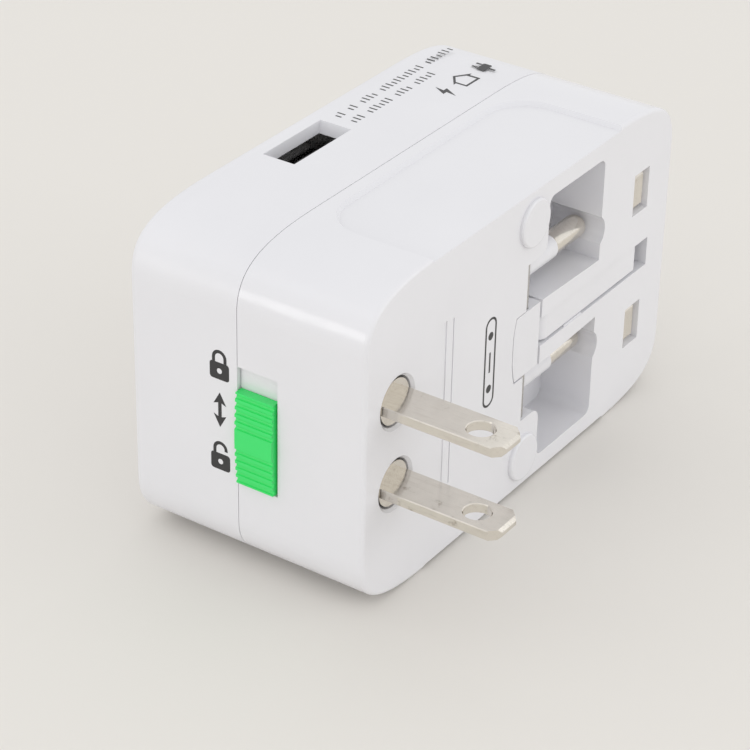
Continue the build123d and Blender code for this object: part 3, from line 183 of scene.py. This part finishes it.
looks = {
    "plug_plastic": plastic("plug_plastic", WHITE, 0.2, grain=0.0000008),
    "socket_plastic": plastic("socket_plastic", WHITE, 0.38, grain=0.0000015),
    "inner_plastic": plastic("inner_plastic", (0.74, 0.75, 0.77), 0.45),
    "pin_plastic": plastic("pin_plastic", WHITE, 0.21, grain=0.0000008),
    "slider_plastic": plastic("slider_plastic", GREEN, 0.32, grain=0.000002),
    "nickel": metal("nickel", NICKEL, 0.15, (1, 0.08, 1), worn=(0.42, 0.37, 0.31)),
    "brass": metal("brass", (0.72, 0.52, 0.22), 0.3),
    "steel": metal("steel", (0.52, 0.51, 0.5), 0.28),
    "dark_plastic": plastic("dark_plastic", (0.022, 0.022, 0.024), 0.35),
    "board": plastic("board", (0.02, 0.16, 0.06), 0.4),
    "capacitor_film": plastic("capacitor_film", (0.55, 0.32, 0.03), 0.35),
    "capacitor_can": metal("capacitor_can", (0.56, 0.57, 0.59), 0.3),
    "led_lens": plastic("led_lens", (0.55, 0.03, 0.02), 0.12, coat=0.5),
    "fuse_ceramic": plastic("fuse_ceramic", (0.72, 0.70, 0.64), 0.5),
}

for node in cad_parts.values():
    for index, material in enumerate(node.data.materials):
        node.data.materials[index] = looks[material.name]


# ---------------------------------------------------------------- printed marks
INK_THICK = 0.02 * MM
RING_POINTS = 28
WELD = 0.001 * MM


def ring(centre, radius, start=0.0, turn=2 * math.pi, count=RING_POINTS):
    """Points round a circle or an arc, in millimetres."""
    steps = count if turn == 2 * math.pi else count + 1
    angles = [start + turn * i / count for i in range(steps)]
    return [(centre[0] + radius * math.cos(a), centre[1] + radius * math.sin(a)) for a in angles]


def oblong(centre, width, height, corner=0.0, count=5):
    """A rectangle with rounded corners, in millimetres."""
    half_w, half_h = width / 2 - corner, height / 2 - corner
    signs = ((1, 1), (-1, 1), (-1, -1), (1, -1))
    if corner == 0:
        return [(centre[0] + sx * half_w, centre[1] + sy * half_h) for sx, sy in signs]
    points = []
    for quarter, (sx, sy) in enumerate(signs):
        middle = (centre[0] + sx * half_w, centre[1] + sy * half_h)
        points += ring(middle, corner, quarter * math.pi / 2, math.pi / 2, count)
    return points


def band(path, width):
    """Outline of a stroke of even width along an open path."""
    left, right = [], []
    for i, here in enumerate(path):
        before = Vector(path[max(i - 1, 0)])
        after = Vector(path[min(i + 1, len(path) - 1)])
        along = (after - before).normalized()
        side = Vector((-along.y, along.x)) * width / 2
        left.append(tuple(Vector(here) + side))
        right.append(tuple(Vector(here) - side))
    return left + right[::-1]


def shifted(outlines, dx, dy):
    """The same outlines moved in their own plane."""
    return [[(x + dx, y + dy) for x, y in outline] for outline in outlines]


def stamp(name, outlines, origin, across, up, body, slot="dark_plastic"):
    """Ink film on a face: outlines in millimetres, with one inside another as a hole."""
    curve = bpy.data.curves.new(name, "CURVE")
    curve.dimensions = "2D"
    curve.fill_mode = "BOTH"
    curve.extrude = INK_THICK / MM / 2
    for outline in outlines:
        spline = curve.splines.new("POLY")
        spline.points.add(len(outline) - 1)
        for point, (x, y) in zip(spline.points, outline):
            point.co = (x, y, 0, 1)
        spline.use_cyclic_u = True
    drawing = bpy.data.objects.new(name + "_drawing", curve)
    bpy.context.scene.collection.objects.link(drawing)
    mesh = bpy.data.meshes.new_from_object(drawing)
    bpy.data.objects.remove(drawing)
    across, up = Vector(across), Vector(up)
    turn = Matrix((across, up, across.cross(up))).transposed().to_4x4()
    mesh.transform(Matrix.Translation(origin) @ turn @ Matrix.Scale(MM, 4))
    made = bmesh.new()
    made.from_mesh(mesh)
    bmesh.ops.remove_doubles(made, verts=made.verts, dist=WELD)
    made.to_mesh(mesh)
    made.free()
    mesh.name = name
    piece = bpy.data.objects.new(name, mesh)
    bpy.context.scene.collection.objects.link(piece)
    mesh.materials.append(looks[slot])
    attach(piece, body)


def padlock(opened):
    """A padlock seen from the front, 3.2 mm wide and about 4.4 mm high."""
    body = oblong((0, -0.8), 3.2, 2.6, 0.45)
    hole = ring((0, -0.8), 0.42)
    root = 0.52
    foot = 1.0 if opened else root
    shackle_path = [(-0.95, root)] + ring((0, 1.2), 0.95, math.pi, -math.pi, 10) + [(0.95, foot)]
    return [body, hole, band(shackle_path, 0.5)]


def double_arrow(length, head):
    """A straight arrow with a point at both ends, along the second axis."""
    half = length / 2
    shaft = 0.28
    barb = head * 0.55
    neck = half - head * 0.85
    left = [(0, half), (-barb, half - head), (-shaft, neck), (-shaft, -neck), (-barb, head - half)]
    right = [(-x, -y) for x, y in left]
    return [left + right]


def tick_row(groups, height, pitch=0.98, width=0.27, gap=1.1):
    """A row of upright ticks in groups, as wide and grey as a printed line of small type."""
    outlines = []
    x = 0.0
    for count in groups:
        for index in range(count):
            tall = height if index % 3 else height * 0.72
            outlines.append(oblong((x, tall / 2), width, tall))
            x += pitch
        x += gap
    return outlines


def plug_sign():
    """A two-pin plug seen from the side."""
    return [
        oblong((0, 0), 2.3, 1.5, 0.3),
        oblong((-0.6, 1.28), 0.4, 0.95),
        oblong((0.6, 1.28), 0.4, 0.95),
        oblong((0, -1.35), 0.45, 1.1),
    ]


def bolt_sign():
    """A lightning bolt."""
    return [[(0.35, 2.0), (-0.95, -0.25), (-0.1, -0.25), (-0.4, -2.0), (0.95, 0.4), (0.1, 0.4)]]


def house_sign():
    """The outline of a house with a pitched roof."""
    outer = [(-1.8, -1.6), (-1.8, 0.3), (-2.4, 0.3), (0, 2.0), (2.4, 0.3), (1.8, 0.3), (1.8, -1.6)]
    inner = [(-1.45, -1.25), (-1.45, 0.55), (0, 1.55), (1.45, 0.55), (1.45, -1.25)]
    return [outer, inner]


def round_pin_sign():
    """The outline of a flat two-round-pin plug, long side across, with its two pins."""
    outer = oblong((0, 0), 14.2, 2.8, 1.35)
    inner = oblong((0, 0), 13.5, 2.1, 1.0)
    return [outer, inner, ring((-4.2, 0), 0.62), ring((4.2, 0), 0.62), oblong((0, 0), 3.2, 0.35)]


# Marks beside the lock slider, on the socket half's end; offsets are millimetres above mid-height.
ink_lift = INK_THICK / 2
LOCK_MARKS_FROM_SEAM = 2.9 * MM
lock_face = Vector((socket_low.x - ink_lift, socket_low.y + LOCK_MARKS_FROM_SEAM, mid_z))
lock_marks = [
    ("lock_closed_mark", padlock(False), 7.2),
    ("lock_arrow_mark", double_arrow(5.4, 1.9), 0.4),
    ("lock_open_mark", padlock(True), -7.0),
]
for name, outlines, height in lock_marks:
    stamp(name, shifted(outlines, 0, height), lock_face, (0, -1, 0), (0, 0, 1), "socket_module")

# Marks on the socket half's top; places are millimetres along the length and back from the seam.
ROW_HEIGHT = 1.35
top_face = Vector((socket_low.x, socket_low.y, socket_high.z + ink_lift))
top_marks = [
    ("rating_row_far", tick_row((2, 2, 4, 11, 7), ROW_HEIGHT), (42.1, 13.1)),
    ("rating_row_near", tick_row((3, 6, 4, 5), ROW_HEIGHT), (42.1, 10.4)),
    ("bolt_mark", bolt_sign(), (58.2, 6.0)),
    ("house_mark", house_sign(), (63.2, 6.0)),
    ("plug_mark", plug_sign(), (68.6, 6.0)),
]
for name, outlines, place in top_marks:
    stamp(name, shifted(outlines, *place), top_face, (1, 0, 0), (0, 1, 0), "socket_module")

# Mark on the plug face, left of the round-pin carriage.
FACE_MARK_X = -9.15 * MM
FACE_MARK_RISE = 1.5 * MM
face_origin = Vector((FACE_MARK_X, plug_face_y - ink_lift, mid_z + FACE_MARK_RISE))
stamp("round_pin_mark", round_pin_sign(), face_origin, (0, 0, 1), (-1, 0, 0), "plug_module")

# ---------------------------------------------------------------- stage, light and camera
FLOOR_REACH = 4.0
FLOOR_COLOUR = (0.772, 0.747, 0.706, 1)
FLOOR_ROUGHNESS = 0.7
WORLD_STRENGTH = 0.97
AIM = Vector((0, 0, 0.02))
LENS = 127.9
CAMERA_PLACE = (-0.27781, -0.17216, 0.21163)

floor_mesh = bpy.data.meshes.new("studio_floor")
floor_signs = ((-1, -1), (1, -1), (1, 1), (-1, 1))
floor_corners = [(sx * FLOOR_REACH, sy * FLOOR_REACH, 0) for sx, sy in floor_signs]
floor_mesh.from_pydata(floor_corners, [], [(0, 1, 2, 3)])
floor = bpy.data.objects.new("studio_floor", floor_mesh)
bpy.context.scene.collection.objects.link(floor)
floor_look, _, floor_shader = new_material("studio_floor")
floor_shader.inputs["Base Color"].default_value = FLOOR_COLOUR
floor_shader.inputs["Roughness"].default_value = FLOOR_ROUGHNESS
floor_mesh.materials.append(floor_look)

world = bpy.data.worlds.new("studio")
bpy.context.scene.world = world
world.use_nodes = True
world.node_tree.nodes["Background"].inputs["Color"].default_value = (1, 1, 1, 1)
world.node_tree.nodes["Background"].inputs["Strength"].default_value = WORLD_STRENGTH


def softbox(name, direction, distance, width, height, radiance):
    """A rectangular area light that faces the object."""
    light = bpy.data.lights.new(name, "AREA")
    light.shape = "RECTANGLE"
    light.size = width
    light.size_y = height
    light.energy = radiance * math.pi * width * height
    holder = bpy.data.objects.new(name, light)
    bpy.context.scene.collection.objects.link(holder)
    away = Vector(direction).normalized()
    holder.location = AIM + away * distance
    holder.rotation_mode = "QUATERNION"
    holder.rotation_quaternion = (-away).to_track_quat("-Z", "Y")


softbox("corner_strip", (-0.857, 0.478, 0.09), 0.9, 0.13, 0.34, 3.2)
softbox("back_panel", (-0.35, 0.75, 0.9), 1.1, 0.6, 0.4, 0.3)
softbox("front_fill", (0.45, -1.0, 0.30), 1.0, 0.8, 0.5, 0.95)
softbox("end_fill", (-1.0, -0.25, 0.12), 1.1, 0.8, 0.5, 0.85)

camera_data = bpy.data.cameras.new("camera")
camera_data.sensor_width = 36
camera_data.lens = LENS
camera = bpy.data.objects.new("camera", camera_data)
bpy.context.scene.collection.objects.link(camera)
camera_right = Vector((0.5664, -0.8239, 0.0176))
camera_forward = Vector((0.7115, 0.4781, -0.5150))
camera_up = camera_right.cross(camera_forward)
camera.matrix_world = (
    Matrix.Translation(CAMERA_PLACE)
    @ Matrix((camera_right, camera_up, -camera_forward)).transposed().to_4x4()
)
camera_data.clip_start = 0.01
camera_data.clip_end = 50
bpy.context.scene.camera = camera
bpy.context.scene.view_settings.view_transform = "Standard"
